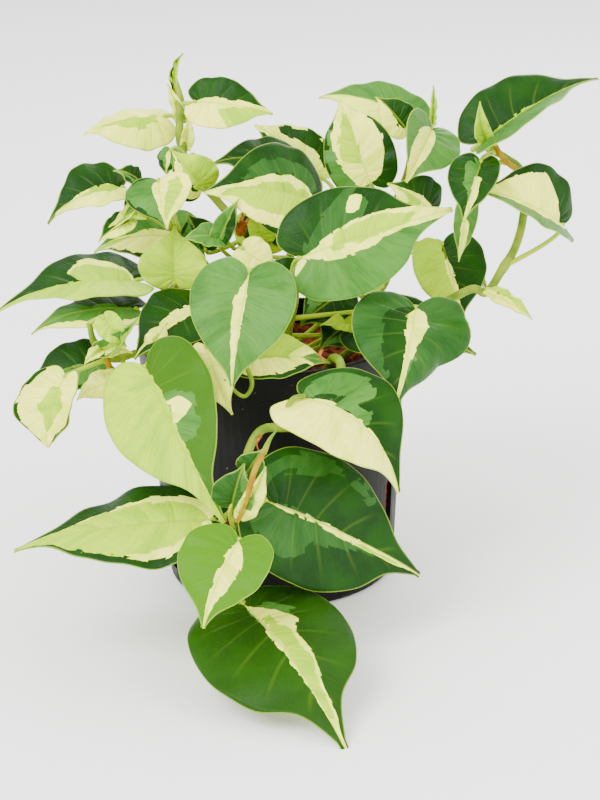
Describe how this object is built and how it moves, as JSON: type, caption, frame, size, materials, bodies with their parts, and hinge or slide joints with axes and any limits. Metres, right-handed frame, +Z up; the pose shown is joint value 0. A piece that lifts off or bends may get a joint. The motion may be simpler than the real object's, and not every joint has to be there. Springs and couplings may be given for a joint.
{
  "type": "potted trailing philodendron",
  "caption": "Bushy trailing houseplant with variegated heart-shaped leaves in a round tapered culture pot of clay granulate; stands on a flat base.",
  "frame": {"origin": "centre of the pot's flat base, on the surface that it stands on", "axes": "+Z up along the pot's axis, -Y towards the front, where one vine trails over the rim, +X to the right"},
  "size_m": [0.2856, 0.31, 0.2424],
  "materials": {
    "pot_plastic": "moulded dark polypropylene, satin, finely scuffed",
    "clay": "fired expanded clay granulate, dry and rough",
    "stem": "smooth pale green living stem",
    "leaf": "living leaf with a soft waxy sheen, lime and cream bands in dark green"
  },
  "bodies": {
    "root": {"culture_pot": "pot_plastic", "clay_granulate": "clay", "vine_crown": "stem", "vine_trailing": "stem", "vine_low_left": "stem", "vine_mid_left": "stem", "vine_top_left": "stem", "vine_far_left": "stem", "vine_back": "stem", "vine_top_right": "stem", "vine_far_right": "stem", "leaf_trailing_left": "leaf", "leaf_trailing_right": "leaf", "leaf_trailing_small": "leaf", "leaf_trailing_low": "leaf", "leaf_front_right": "leaf", "leaf_front_heart": "leaf", "leaf_crown_big": "leaf", "leaf_crown_right": "leaf", "leaf_crown_under": "leaf", "leaf_crown_behind": "leaf", "leaf_crown_beige": "leaf", "leaf_left_lime": "leaf", "leaf_left_cream": "leaf", "leaf_left_dark": "leaf", "leaf_left_pale": "leaf", "leaf_left_young": "leaf", "leaf_left_under": "leaf", "leaf_mid_left_long": "leaf", "leaf_mid_left_edge": "leaf", "leaf_mid_left_broad": "leaf", "leaf_mid_left_lime": "leaf", "leaf_mid_left_back": "leaf", "leaf_top_left_cream": "leaf", "leaf_top_left_hood": "leaf", "leaf_top_left_fold": "leaf", "leaf_far_left_hood": "leaf", "leaf_far_left_disc": "leaf", "leaf_far_left_curl": "leaf", "leaf_back_big": "leaf", "leaf_back_high": "leaf", "leaf_back_dark": "leaf", "leaf_back_lime": "leaf", "leaf_back_small": "leaf", "leaf_back_cream": "leaf", "leaf_back_rear": "leaf", "leaf_back_rear_right": "leaf", "leaf_back_rear_left": "leaf", "leaf_rear_side": "leaf", "leaf_rear_left_side": "leaf", "leaf_top_right_upright": "leaf", "leaf_top_right_sage": "leaf", "leaf_top_right_dark": "leaf", "leaf_top_right_wing": "leaf", "leaf_top_right_lower": "leaf", "leaf_far_right_big": "leaf", "leaf_far_right_hanging": "leaf", "leaf_far_right_curled": "leaf", "leaf_far_right_cream": "leaf", "leaf_far_right_inner": "leaf"}
  },
  "joints": []
}
